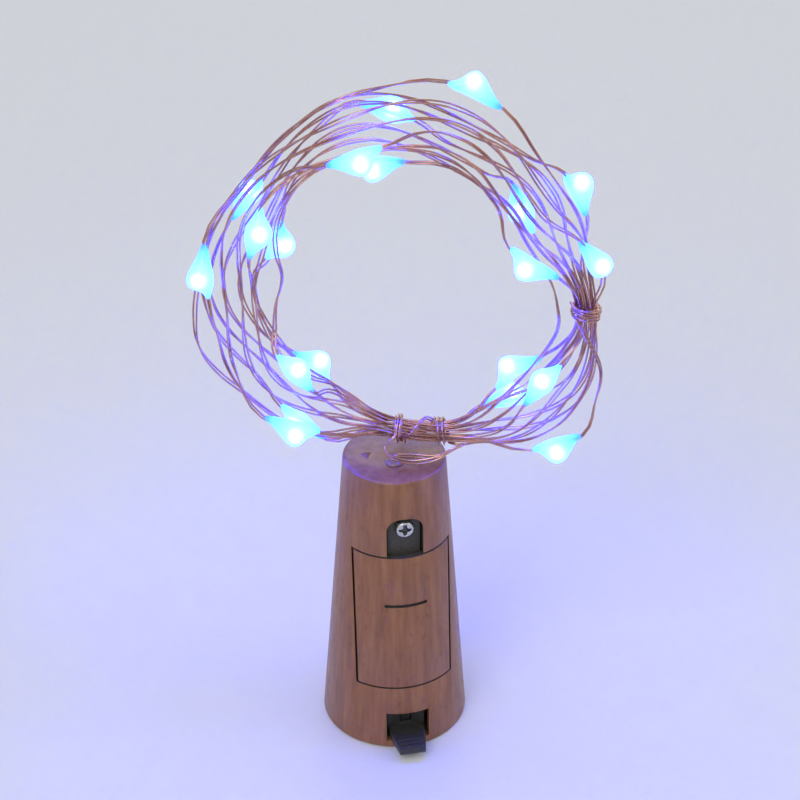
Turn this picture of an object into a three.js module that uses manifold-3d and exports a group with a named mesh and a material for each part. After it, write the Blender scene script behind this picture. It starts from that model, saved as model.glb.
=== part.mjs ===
// Bottle light: a cork-shaped battery case with a string of lights wound into an upright ring on its top.
// Millimetres, +Z up. The origin is the centre of the base, and the cover and the switch face -Y.
import * as THREE from "three";
import { mergeVertices } from "three/addons/utils/BufferGeometryUtils.js";
import Module from "manifold-3d";

const kernel = await Module();
kernel.setup();
const degree = Math.PI / 180;

// Clearances
const seamGap = 0.3; // round a piece that comes off or moves
const fitGap = 0.15; // round a piece that is pressed or glued in
const stackGap = 0.1; // between pieces that a spring or a screw holds together

// Cork-shaped casing
const casingHeight = 50;
const baseRadius = 11.75;
const topRadius = 8.05;
const topEdgeRound = 0.5;
const baseEdgeRound = 0.3;
const wall = 1.2;
const bulkhead = 1.6; // floor and ceiling of the battery bay
const chamberHeight = 10; // ceiling of the switch chamber above the base
const endWall = 1.6; // the closed narrow end
const sprueRadius = 1.1; // three-cornered stub where the casing was filled in its mould
const sprueHeight = 0.5;
const sprueX = -4.35;
const sprueY = 0.5;

// Button cells, stacked along the axis
const cellRadius = 5.8;
const cellHeight = 5.4;
const cellCapRadius = 4.9;
const cellCapHeight = 0.5;
const cellEdge = 0.4;
const cellCount = 3;
const cellClearance = 0.35;

// Contacts and spring
const contactThickness = 0.3;
const contactWidth = 8;
const tabWidth = 2.4;
const tabOffset = 2; // from the axis towards the back
const tabReach = 2.2; // past the bulkhead
const springHeight = 4.6;
const springWire = 0.5;
const springFootRadius = 3.4;
const springTipRadius = 2.1;
const springCurls = 3;

// Battery cover and its screw
const coverWidth = 15;
const coverTop = 36.3;
const coverThickness = 1.2;
const slitHeight = 27.45;
const slitWidth = 6.8;
const slitOpening = 0.55;
const slitDepth = 0.5;
const recessWidth = 5.8;
const recessCorner = 2.3;
const tongueThickness = 1.2;
const tongueRoot = 2.2; // how far the tongue runs down behind the cover
const screwHeight = 41.3;
const headRadius = 1.5;
const headThickness = 1.15;
const headSink = 0.15; // below the casing's surface
const shankRadius = 0.8;
const shankLength = 5;
const crossWidth = 0.45;
const crossLength = 1.9;
const crossDepth = 0.6;
const pegRadius = 0.6;
const pegLength = 1.3;
const pegInset = 0.9; // from the cover's side edge
const pegHeight = 2.2; // above the cover's lower edge

// Switch: window, thumb slider and the small slide switch behind it
const windowWidth = 7;
const windowBottom = 1.3;
const windowTop = 6.65;
const slideTravel = 3;
const tabRootWidth = 5.8;
const tabTipWidth = 4.2;
const tabThickness = 1.2;
const tabOverhang = 3.45; // past the base's rim
const tabRib = 0.3;
const plateWidth = 6.2;
const plateHeight = 4.1;
const plateThickness = 0.8;
const plateSink = 2.55; // behind the base's rim
const frameWidth = 4;
const frameHeight = 7.4;
const frameDepth = 3;
const frameSheet = 0.3;
const frameSink = 3.95; // behind the base's rim
const frameFoot = 1.9; // above the base
const stemWidth = 1.5;
const stemThickness = 1.4;
const stemSink = 2.85; // behind the base's rim
const blockHeight = 3.2;
const blockThickness = 0.9;
const wiperSheet = 0.2;
const wiperWidth = 1.2;
const switchBaseThickness = 0.65;
const pinWidth = 0.5;
const pinPitch = 2;
const pinTail = 0.6; // past the board

// Board and base cap
const capThickness = 1.1;
const boardWidth = 9;
const boardThickness = 1;
const boardGap = 0.3; // between the switch and the board
const boardHeight = 8;
const boardFoot = 1.5;
const postWidth = 2;
const postDepth = 2.6;
const postHeight = 5.4;
const postGrip = 0.6; // how far the board's edge enters a post
const resistorLength = 3.2;
const resistorWidth = 1.6;
const resistorThickness = 0.6;
const resistorPlace = 2.9; // from the board's middle
const resistorFoot = 2.2;

// Leads inside, and the seal where the string comes out
const leadRadius = 0.45;
const leadStep = 1; // the unit of the leads' bends
const leadChannelRadius = 0.8;
const leadChannelPlace = 7.4; // from the axis towards the back
const upperRoomHeight = 4.2; // the room under the narrow end
const upperRoomFront = 4.4; // from the axis towards the front
const exitOffset = 2.2; // of the string's hole from the axis, towards the ring's front
const exitHoleRadius = 1.25;
const sealFlangeRadius = 1.5;
const sealFlangeHeight = 0.45;

// String of lights
const wireRadius = 0.2; // a round tube that takes in both enamelled wires
const ringTurn = -11.5; // degrees from the casing's front to the ring's front
const ringCentreX = 1.8;
const ringCentreZ = 79.6;
const ringMean = 26.2;
const ringOval = 1.6;
const ringCorners = 1.2;
const coilEnd = 12.15; // loops
const coilStart = -0.003;
const coilFirstAngle = 285;
const stepsPerLoop = 36;
const coilCells = 13; // places round the bundle, one taken by each loop
const coilFirstSide = 24;
const sway = 18; // degrees that the bundle twists to and fro
const swayWaves = 5;
const swayPhase = 20;
const tieRadius = 1.86; // bundle where it is tied
const looseWidth = 4.5; // bundle half-width where it is loose
const looseDepth = 3.3;
const tieEase = 28; // degrees over which the bundle opens
const ties = [
  { at: 274, span: 11, hold: 1 },
  { at: 353.5, span: 5, hold: 1 },
  { at: 133, span: 4, hold: 0.5 },
];
const wander = 0.45; // how far a loose loop strays from its place
const wanderTurn = 2.5;
const wrapReach = 1.08; // of a tie's turns beyond the bundle
const wrapPitch = 1;
const wrapSteps = 12;
const joinLoops = 0.045; // over which the string leaves or joins the bundle
// The slack above the seal: to the right under the bundle, and back to the left in front of it
const slackLoop = [
  [0, 0, 0],
  [0.1, 0, 0.25],
  [1.2, 0.1, 0.4],
  [3.4, 0.2, 0.35],
  [6, 0.6, 0.45],
  [8.2, 0.9, 1.2],
  [9.6, 1.2, 2.1],
  [9.6, 1.8, 2.4],
  [8.4, 2.2, 2.1],
  [6.8, 2.2, 1.4],
  [4.6, 2.4, 0.9],
  [2.4, 2.4, 0.75],
  [0.4, 2.2, 1.1],
  [-1, 1.8, 1.8],
  [-1.4, 1.2, 2.7],
];
const strays = [
  { turn: 5.19, reach: 3.4, span: 0.06 },
  { turn: 4.67, reach: 3.2, span: 0.08 },
  { turn: 11.78, reach: 2.4, span: 0.06 },
];

// Resin drops: their place along the string in loops, and how far they stand off the bundle
const dropLength = 8.8;
const dropRadius = 1.95;
const dropTipRadius = 0.75;
const dropOffset = 1.45; // of the bulge from the wire
const dropLean = 0.2; // of the bulge along the wire, as a share of half the drop
const dropChannel = 0.5;
const dropSpan = 0.046; // loops over which the string leads out to a drop
const dropFreedom = 0.3; // looseness from which the string is free to lead out to a drop
const drops = [
  { turn: 0.68, reach: 1.8 },
  { turn: 1.25, reach: 1.6 },
  { turn: 1.85, reach: 1.6 },
  { turn: 2.505, reach: 1.6 },
  { turn: 3.11, reach: 1.6 },
  { turn: 3.63, reach: 1.6 },
  { turn: 4.26, reach: 1.6 },
  { turn: 4.81, reach: 2.4 },
  { turn: 5.49, reach: 1.6 },
  { turn: 6.09, reach: 1.6 },
  { turn: 6.65, reach: 1.6 },
  { turn: 7.3, reach: 1.6 },
  { turn: 7.84, reach: 1.6 },
  { turn: 8.475, reach: 1.6 },
  { turn: 9.055, reach: 2 },
  { turn: 9.63, reach: 1.6 },
  { turn: 10.29, reach: 2 },
  { turn: 10.87, reach: 2.2 },
  { turn: 11.408, reach: 2.2 },
  { turn: 12.07, reach: 3.8 },
];

// Heights that follow from the stack of cells
const bayFloor = chamberHeight + bulkhead;
const footPlate = bayFloor + stackGap;
const springFoot = footPlate + contactThickness + stackGap;
const firstCell = springFoot + springHeight + stackGap;
const stackTop = firstCell + cellCount * (cellHeight + stackGap);
const bayCeiling = stackTop + contactThickness + stackGap;
const topRoomFloor = bayCeiling + bulkhead;
const topRoomCeiling = casingHeight - endWall;
const coverBottom = bayFloor + seamGap;
const recessTop = screwHeight + headRadius + 2 * seamGap;
const tongueFace = coneRadius(screwHeight) - headThickness - headSink;
const tongueBack = tongueFace - tongueThickness;
const stemRest = frameFoot + (frameHeight - slideTravel) / 2;
const tabFoot = windowBottom + fitGap;
const tabTipReach = baseRadius + tabOverhang;
const plateFace = baseRadius - plateSink;
const frameFace = baseRadius - frameSink;
const stemReach = baseRadius - stemSink;
const frameBack = frameFace - frameDepth;
const boardFace = frameBack - boardGap;
const boardBack = boardFace - boardThickness;
const ringSide = new THREE.Vector3(Math.cos(ringTurn * degree), Math.sin(ringTurn * degree), 0);
const ringFront = new THREE.Vector3(Math.sin(ringTurn * degree), -Math.cos(ringTurn * degree), 0);
const exitPlace = ringFront.clone().multiplyScalar(exitOffset);
const leadTop = casingHeight + sealFlangeHeight + 0.4;
const leadFoot = topRoomCeiling - 2;

// Materials
const plastic = (name, color, roughness) => new THREE.MeshStandardMaterial({ name, color, roughness });
const metal = (name, color, roughness) => {
  return new THREE.MeshStandardMaterial({ name, color, roughness, metalness: 1 });
};
const corkPlastic = plastic("cork_plastic", 0x86583a, 0.5);
const blackPlastic = plastic("black_plastic", 0x16140f, 0.5);
const steel = metal("steel", 0xb9bcc0, 0.3);
const bronze = metal("bronze", 0xb98a4a, 0.4);
const copper = metal("copper_wire", 0xb0603a, 0.35);
const resin = plastic("clear_resin", 0xa8ecff, 0.15);
const board = plastic("board", 0x2f6b3c, 0.6);
const ceramic = plastic("ceramic", 0x2a2a2e, 0.5);
const redSleeve = plastic("red_sleeve", 0xb0201c, 0.5);
const blackSleeve = plastic("black_sleeve", 0x1a1a1a, 0.5);
const glue = plastic("glue", 0xe4e0d2, 0.4);

const bottleLight = new THREE.Group();
bottleLight.name = "bottle_light";

// Solids from geometry, and geometry from solids
function solid(geometry) {
  const bare = new THREE.BufferGeometry();
  bare.setAttribute("position", geometry.getAttribute("position"));
  bare.setIndex(geometry.index);
  const merged = mergeVertices(bare, 1e-4);
  const corners = merged.index.array;
  const kept = [];
  for (let i = 0; i < corners.length; i += 3) {
    const [a, b, c] = corners.slice(i, i + 3);
    if (a !== b && b !== c && c !== a) kept.push(a, b, c);
  }
  const vertProperties = merged.getAttribute("position").array;
  const triVerts = new Uint32Array(kept);
  return new kernel.Manifold(new kernel.Mesh({ numProp: 3, vertProperties, triVerts }));
}

function geometryOf(shape) {
  const made = shape.getMesh();
  const geometry = new THREE.BufferGeometry();
  geometry.setAttribute("position", new THREE.BufferAttribute(made.vertProperties.slice(), 3));
  geometry.setIndex(new THREE.BufferAttribute(made.triVerts.slice(), 1));
  return geometry;
}

function addPiece(name, shape, material) {
  const geometry = shape.isBufferGeometry ? shape : geometryOf(shape);
  geometry.computeVertexNormals();
  const piece = new THREE.Mesh(geometry, material);
  piece.name = name;
  bottleLight.add(piece);
  return piece;
}

// A block between two corners
function block([x0, x1], [y0, y1], [z0, z1]) {
  const geometry = new THREE.BoxGeometry(x1 - x0, y1 - y0, z1 - z0);
  geometry.translate((x0 + x1) / 2, (y0 + y1) / 2, (z0 + z1) / 2);
  return solid(geometry);
}

// A turned form about Z from a profile of [radius, height], which runs up its outside
function turned(profile, sides) {
  const points = profile.map(([radius, height]) => new THREE.Vector2(radius, height));
  return solid(new THREE.LatheGeometry(points, sides).rotateX(Math.PI / 2));
}

function drum(radius, from, to, sides) {
  return turned([[0, from], [radius, from], [radius, to], [0, to]], sides);
}

// An outline in X and Z, carried along Y from the back to the front
function frontPrism(outline, back, front) {
  const depth = back - front;
  const geometry = new THREE.ExtrudeGeometry(outline, { depth, bevelEnabled: false, curveSegments: 8 });
  geometry.rotateX(Math.PI / 2);
  geometry.translate(0, back, 0);
  return solid(geometry);
}

// An outline in X and Y, carried up from one height to another
function plan(outline, from, to) {
  const depth = to - from;
  const geometry = new THREE.ExtrudeGeometry(outline, { depth, bevelEnabled: false, curveSegments: 16 });
  geometry.translate(0, 0, from);
  return solid(geometry);
}

// An outline in Y and Z, carried across X
function sidePrism(outline, width) {
  const geometry = new THREE.ExtrudeGeometry(outline, { depth: width, bevelEnabled: false });
  const along = new THREE.Matrix4().makeBasis(
    new THREE.Vector3(0, 1, 0),
    new THREE.Vector3(0, 0, 1),
    new THREE.Vector3(1, 0, 0),
  );
  geometry.applyMatrix4(along);
  geometry.translate(-width / 2, 0, 0);
  return solid(geometry);
}

// A round bar along Y
function crossBar(radius, [y0, y1], height, sides) {
  const geometry = new THREE.CylinderGeometry(radius, radius, y1 - y0, sides);
  geometry.translate(0, (y0 + y1) / 2, height);
  return solid(geometry);
}

// A closed tube of flat-sided section along a list of points
function tube(points, radius, sides) {
  const corners = [];
  const faces = [];
  const last = points.length - 1;
  const along = points.map((point, i) => {
    const before = points[Math.max(i - 1, 0)];
    const after = points[Math.min(i + 1, last)];
    return after.clone().sub(before).normalize();
  });
  const first = Math.abs(along[0].z) < 0.9 ? new THREE.Vector3(0, 0, 1) : new THREE.Vector3(0, 1, 0);
  let across = first.cross(along[0]).normalize();
  const turn = new THREE.Quaternion();
  points.forEach((point, i) => {
    if (i > 0) across = across.clone().applyQuaternion(turn.setFromUnitVectors(along[i - 1], along[i]));
    const up = along[i].clone().cross(across);
    for (let side = 0; side < sides; side += 1) {
      const angle = (2 * Math.PI * side) / sides;
      const corner = point.clone();
      corner.addScaledVector(across, radius * Math.cos(angle));
      corner.addScaledVector(up, radius * Math.sin(angle));
      corners.push(corner.x, corner.y, corner.z);
    }
  });
  for (let ring = 0; ring < last; ring += 1) {
    for (let side = 0; side < sides; side += 1) {
      const a = ring * sides + side;
      const b = ring * sides + ((side + 1) % sides);
      faces.push(a, b, b + sides, a, b + sides, a + sides);
    }
  }
  for (let side = 1; side < sides - 1; side += 1) {
    const end = last * sides;
    faces.push(0, side + 1, side);
    faces.push(end, end + side, end + side + 1);
  }
  const geometry = new THREE.BufferGeometry();
  geometry.setAttribute("position", new THREE.Float32BufferAttribute(corners, 3));
  geometry.setIndex(faces);
  return geometry;
}

// The cork's taper
function coneRadius(height) {
  return baseRadius + ((topRadius - baseRadius) * height) / casingHeight;
}

function cone(inset, from, to) {
  const lower = coneRadius(from) - inset;
  const upper = coneRadius(to) - inset;
  return turned([[0, from], [lower, from], [upper, to], [0, to]], 72);
}

function cork() {
  const profile = [[0, 0]];
  const baseCentre = coneRadius(baseEdgeRound) - baseEdgeRound;
  const topCentre = coneRadius(casingHeight - topEdgeRound) - topEdgeRound;
  for (let step = 0; step <= 3; step += 1) {
    const angle = (step / 3 - 1) * 90 * degree;
    profile.push([
      baseCentre + baseEdgeRound * Math.cos(angle),
      baseEdgeRound + baseEdgeRound * Math.sin(angle),
    ]);
  }
  for (let step = 0; step <= 4; step += 1) {
    const angle = (step / 4) * 90 * degree;
    profile.push([
      topCentre + topEdgeRound * Math.cos(angle),
      casingHeight - topEdgeRound + topEdgeRound * Math.sin(angle),
    ]);
  }
  profile.push([0, casingHeight]);
  return turned(profile, 72);
}

// The recess above the cover: square below, rounded at its two upper corners
function recessOutline(foot, inset) {
  const half = recessWidth / 2 - inset;
  const top = recessTop - inset;
  const corner = recessCorner - inset;
  const outline = new THREE.Shape();
  outline.moveTo(-half, foot);
  outline.lineTo(half, foot);
  outline.lineTo(half, top - corner);
  outline.absarc(half - corner, top - corner, corner, 0, Math.PI / 2, false);
  outline.lineTo(corner - half, top);
  outline.absarc(corner - half, top - corner, corner, Math.PI / 2, Math.PI, false);
  outline.closePath();
  return outline;
}

function bayOutline() {
  const half = cellRadius + cellClearance;
  const outline = new THREE.Shape();
  outline.moveTo(-half, -baseRadius);
  outline.lineTo(half, -baseRadius);
  outline.lineTo(half, 0);
  outline.absarc(0, 0, half, 0, Math.PI, false);
  outline.closePath();
  return outline;
}

// The band between the casing's surface and a depth below it, in front of the cells
function frontBand(depth, half, from, to) {
  const outside = block([-half, half], [-2 * baseRadius, -coneRadius(coverTop) / 6], [from, to]);
  return outside.subtract(cone(depth, from - 1, to + 1));
}

function contactSlot(from, to) {
  const half = tabWidth / 2 + seamGap;
  const back = tabOffset + contactThickness + seamGap;
  return block([-half, half], [tabOffset - seamGap, back], [from, to]);
}

// Where the two pegs of the cover stand, left and right
function pegPlaces() {
  const height = coverBottom + pegHeight;
  const side = coverWidth / 2 - pegInset;
  const inner = coneRadius(height) - coverThickness;
  const depth = Math.sqrt(inner * inner - side * side);
  return [-side, side].map((x) => ({ x, y: -depth, z: height }));
}

function peg({ x, y, z }, radius, length) {
  return crossBar(radius, [y - coverThickness / 2, y + length], z, 12).translate(x, 0, 0);
}

function casing() {
  const half = coverWidth / 2 + seamGap;
  const rebateDepth = coverThickness + seamGap;
  const windowHalf = windowWidth / 2;
  const bossFace = tongueBack - seamGap;
  const roomFloor = topRoomCeiling - upperRoomHeight;
  const roomAcross = [-baseRadius / 2, baseRadius / 2];
  const channel = drum(leadChannelRadius, chamberHeight - 1, topRoomFloor + 1, 12);
  const exitHole = drum(exitHoleRadius, topRoomCeiling - 1, casingHeight + 1, 20);
  const backRoom = cone(wall, topRoomFloor, topRoomCeiling);
  const topRoom = cone(wall, roomFloor, topRoomCeiling);
  const sprue = turned([[0, -1], [sprueRadius, -1], [sprueRadius, 0], [0, sprueHeight]], 3);
  const cuts = [
    cone(wall, -0.001, chamberHeight).add(drum(baseRadius - wall, -1, 0, 72)),
    plan(bayOutline(), bayFloor, bayCeiling).intersect(cone(0, bayFloor - 1, bayCeiling + 1)),
    frontBand(rebateDepth, half, bayFloor, coverTop + seamGap),
    frontPrism(recessOutline(coverTop - tongueRoot - seamGap, 0), -bossFace, -2 * baseRadius),
    crossBar(shankRadius + fitGap, [-tongueFace, -tongueFace + shankLength + 0.6], screwHeight, 16),
    block([-windowHalf, windowHalf], [-2 * baseRadius, -frameFace], [windowBottom, windowTop]),
    backRoom.intersect(block([-baseRadius, baseRadius], [fitGap, baseRadius], [topRoomFloor, casingHeight])),
    topRoom.intersect(block(roomAcross, [-upperRoomFront, 1], [roomFloor, casingHeight])),
    channel.translate(0, leadChannelPlace, 0),
    exitHole.translate(exitPlace.x, exitPlace.y, 0),
    contactSlot(chamberHeight - 1, bayFloor + 1),
    contactSlot(bayCeiling - 1, topRoomFloor + 1),
    ...pegPlaces().map((place) => peg(place, pegRadius + seamGap, pegLength + seamGap)),
  ];
  let shell = cork().add(sprue.translate(sprueX, sprueY, casingHeight));
  for (const cut of cuts) shell = shell.subtract(cut);
  addPiece("casing", shell, corkPlastic);
}

function batteryCover() {
  const half = coverWidth / 2;
  const rootHalf = recessWidth / 2 - seamGap;
  const slitHalf = slitWidth / 2;
  const slitFrom = slitHeight - slitOpening / 2;
  const slitTo = slitHeight + slitOpening / 2;
  const outer = cone(0, coverBottom, coverTop);
  const tongueFoot = coverTop - tongueRoot;
  const rootFront = coneRadius(coverTop) - coverThickness / 2;
  let panel = outer.intersect(frontBand(coverThickness, half, coverBottom, coverTop));
  panel = panel.subtract(frontBand(slitDepth, slitHalf, slitFrom, slitTo));
  panel = panel.add(frontPrism(recessOutline(tongueFoot, seamGap), -tongueBack, -tongueFace));
  panel = panel.add(block([-rootHalf, rootHalf], [-rootFront, -tongueBack], [tongueFoot, coverTop]));
  for (const place of pegPlaces()) panel = panel.add(peg(place, pegRadius, pegLength));
  const hole = crossBar(shankRadius + seamGap, [-2 * baseRadius, 0], screwHeight, 20);
  addPiece("battery_cover", panel.subtract(hole), corkPlastic);
}

// Pan-head screw with a cross recess, along Y
function coverScrew() {
  const seat = tongueFace + stackGap;
  const edge = headThickness * 0.45;
  const profile = [
    [0, -shankLength],
    [shankRadius * 0.5, -shankLength],
    [shankRadius, -shankLength + shankRadius],
    [shankRadius, 0],
    [headRadius, 0],
    [headRadius, edge],
    [headRadius * 0.86, headThickness * 0.8],
    [headRadius * 0.5, headThickness],
    [0, headThickness],
  ];
  const [long, thin] = [crossLength / 2, crossWidth / 2];
  const floor = headThickness - crossDepth;
  let screw = turned(profile, 20);
  screw = screw.subtract(block([-long, long], [-thin, thin], [floor, headThickness + 1]));
  screw = screw.subtract(block([-thin, thin], [-long, long], [floor, headThickness + 1]));
  addPiece("cover_screw", screw.rotate([90, 0, 0]).translate(0, -seat, screwHeight), steel);
}

// Button cells, each with its smaller cap downwards
function buttonCells() {
  const canFoot = cellCapHeight;
  const profile = [
    [0, 0],
    [cellCapRadius, 0],
    [cellCapRadius, canFoot],
    [cellRadius - cellEdge, canFoot],
    [cellRadius, canFoot + cellEdge],
    [cellRadius, cellHeight - cellEdge],
    [cellRadius - cellEdge, cellHeight],
    [0, cellHeight],
  ];
  for (let cell = 0; cell < cellCount; cell += 1) {
    const foot = firstCell + cell * (cellHeight + stackGap);
    addPiece(`button_cell_${cell + 1}`, turned(profile, 32).translate(0, 0, foot), steel);
  }
}

// A contact is a square plate with a tab that passes through the bulkhead
function contact(name, plateFoot, tabFrom, tabTo) {
  const half = contactWidth / 2;
  const tabHalf = tabWidth / 2;
  const plate = block([-half, half], [-half, half], [plateFoot, plateFoot + contactThickness]);
  const tab = block([-tabHalf, tabHalf], [tabOffset, tabOffset + contactThickness], [tabFrom, tabTo]);
  addPiece(name, plate.add(tab), steel);
}

function contacts() {
  contact("negative_contact", footPlate, chamberHeight - tabReach, footPlate + contactThickness);
  contact("positive_contact", stackTop, stackTop, topRoomFloor + tabReach);
}

// Conical spring with its curls, closed at its foot
function negativeSpring() {
  const points = [];
  const steps = springCurls * 8;
  const rise = springHeight - springWire;
  for (let step = 0; step <= steps; step += 1) {
    const share = step / steps;
    const radius = springFootRadius + (springTipRadius - springFootRadius) * share;
    const angle = share * springCurls * 2 * Math.PI;
    const height = springFoot + springWire / 2 + rise * share;
    points.push(new THREE.Vector3(radius * Math.cos(angle), radius * Math.sin(angle), height));
  }
  console.log(`spring: least gap to itself ${leastGap(points, springWire, 4).toFixed(2)} mm`);
  addPiece("negative_spring", solid(tube(points, springWire / 2, 5)), steel);
}

// Thumb slider: the plate behind the window and the tapered tab that a thumb pushes
function thumbSlider() {
  const plateHalf = plateWidth / 2;
  const holeHalf = stemWidth / 2 + fitGap;
  const holeReach = stemThickness / 2 + fitGap;
  const plateBack = plateFace - plateThickness;
  const tabTop = tabFoot + tabThickness;
  const outline = new THREE.Shape();
  outline.moveTo(-tabRootWidth / 2, -plateBack - plateThickness / 2);
  outline.lineTo(-tabRootWidth / 2, -coneRadius(tabFoot) + wall / 2);
  outline.lineTo(-tabTipWidth / 2, -tabTipReach);
  outline.lineTo(tabTipWidth / 2, -tabTipReach);
  outline.lineTo(tabRootWidth / 2, -coneRadius(tabFoot) + wall / 2);
  outline.lineTo(tabRootWidth / 2, -plateBack - plateThickness / 2);
  outline.closePath();
  let slider = block([-plateHalf, plateHalf], [-plateFace, -plateBack], [tabFoot, tabFoot + plateHeight]);
  slider = slider.add(plan(outline, tabFoot, tabTop));
  const ribHalf = tabTipWidth / 2 - seamGap;
  const ribRise = [tabTop - tabRib, tabTop + tabRib / 2];
  for (const reach of [tabRib, 4 * tabRib, 7 * tabRib]) {
    const from = -tabTipReach + reach;
    slider = slider.add(block([-ribHalf, ribHalf], [from, from + tabRib], ribRise));
  }
  slider = slider.subtract(
    block([-holeHalf, holeHalf], [-baseRadius, 0], [stemRest - holeReach, stemRest + holeReach]),
  );
  addPiece("thumb_slider", slider, blackPlastic);
}

function slideSwitch() {
  const half = frameWidth / 2;
  const frameTop = frameFoot + frameHeight;
  const inside = half - frameSheet;
  const slotHalf = stemWidth / 2 + fitGap;
  const slotFrom = stemRest - stemThickness / 2 - 2 * fitGap;
  const slotTo = stemRest + slideTravel + stemThickness / 2 + 2 * fitGap;
  let frame = block([-half, half], [-frameFace, -frameBack], [frameFoot, frameTop]);
  frame = frame.subtract(
    block([-inside, inside], [-frameFace + frameSheet, 0], [frameFoot + frameSheet, frameTop - frameSheet]),
  );
  frame = frame.subtract(block([-slotHalf, slotHalf], [-baseRadius, -frameFace + 1], [slotFrom, slotTo]));
  addPiece("switch_frame", frame, steel);

  const baseHalf = inside - fitGap;
  const baseEdge = frameSheet + fitGap;
  const baseBack = frameBack;
  const baseFace = baseBack + switchBaseThickness;
  const baseRise = [frameFoot + baseEdge, frameTop - baseEdge];
  const base = block([-baseHalf, baseHalf], [-baseFace, -baseBack], baseRise);
  addPiece("switch_base", base, blackPlastic);

  const blockFace = frameFace - frameSheet - stackGap;
  const blockBack = blockFace - blockThickness;
  const blockEnds = [stemRest - blockHeight / 2, stemRest + blockHeight / 2];
  const stemEnds = [stemRest - stemThickness / 2, stemRest + stemThickness / 2];
  const carriage = block([-baseHalf, baseHalf], [-blockFace, -blockBack], blockEnds);
  const stem = block([-stemWidth / 2, stemWidth / 2], [-stemReach, -blockBack], stemEnds);
  addPiece("switch_stem", carriage.add(stem), blackPlastic);

  const wiperFace = blockBack - stackGap;
  const wiperBack = baseFace + stackGap + wiperSheet;
  const wiperHalf = blockHeight / 2 - wiperSheet;
  const wave = new THREE.Shape();
  const bends = [-1, -0.5, 0, 0.5, 1];
  const depthAt = (bend) => (Math.abs(bend) === 0.5 ? -wiperBack : -wiperFace);
  bends.forEach((bend, i) => {
    const place = [depthAt(bend), stemRest + bend * wiperHalf];
    if (i === 0) wave.moveTo(...place);
    else wave.lineTo(...place);
  });
  for (const bend of bends.reverse()) wave.lineTo(depthAt(bend) + wiperSheet, stemRest + bend * wiperHalf);
  wave.closePath();
  addPiece("switch_wiper", sidePrism(wave, wiperWidth), bronze);

  const pinHalf = pinWidth / 2;
  const middle = frameFoot + frameHeight / 2;
  for (const pin of [1, 2, 3]) {
    const height = middle + (pin - 2) * pinPitch;
    const ends = [-frameBack, -boardBack + pinTail];
    const pinRise = [height - pinHalf, height + pinHalf];
    addPiece(`switch_pin_${pin}`, block([-pinHalf, pinHalf], ends, pinRise), bronze);
  }
}

function circuitBoard() {
  const half = boardWidth / 2;
  const middle = frameFoot + frameHeight / 2;
  let plate = block([-half, half], [-boardFace, -boardBack], [boardFoot, boardFoot + boardHeight]);
  for (const pin of [-1, 0, 1]) {
    plate = plate.subtract(crossBar(pinWidth, [-frameFace, 0], middle + pin * pinPitch, 12));
  }
  addPiece("circuit_board", plate, board);

  const side = resistorWidth / 2;
  const back = -boardBack;
  const foot = resistorFoot;
  const chip = block(
    [resistorPlace - side, resistorPlace + side],
    [back, back + resistorThickness],
    [foot, foot + resistorLength],
  );
  addPiece("resistor", chip, ceramic);
}

// The cap that closes the wide end, with two grooved posts for the board
function baseCap() {
  const middle = -(boardFace + boardBack) / 2;
  const grooveHalf = boardThickness / 2 + fitGap;
  const inner = boardWidth / 2 - postGrip;
  const foot = capThickness / 2;
  let cap = turned(
    [
      [0, 0],
      [baseRadius - wall - fitGap, 0],
      [coneRadius(capThickness) - wall - fitGap, capThickness],
      [0, capThickness],
    ],
    72,
  );
  for (const side of [-1, 1]) {
    const across = [side * inner, side * (inner + postWidth)].sort((a, b) => a - b);
    const depth = [middle - postDepth / 2, middle + postDepth / 2];
    cap = cap.add(block(across, depth, [foot, foot + postHeight]));
  }
  const grooveReach = boardWidth / 2 + fitGap;
  const groove = [middle - grooveHalf, middle + grooveHalf];
  cap = cap.subtract(block([-grooveReach, grooveReach], groove, [boardFoot - fitGap, casingHeight]));
  addPiece("base_cap", cap, corkPlastic);
}

// Leads: the ends run straight into what they are soldered to
function lead(name, route, material) {
  const points = route.map(([x, y, z]) => new THREE.Vector3(x, y, z));
  const curve = new THREE.CatmullRomCurve3(points, false, "centripetal");
  addPiece(name, solid(tube(curve.getPoints(4 * points.length), leadRadius, 7)), material);
}

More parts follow.
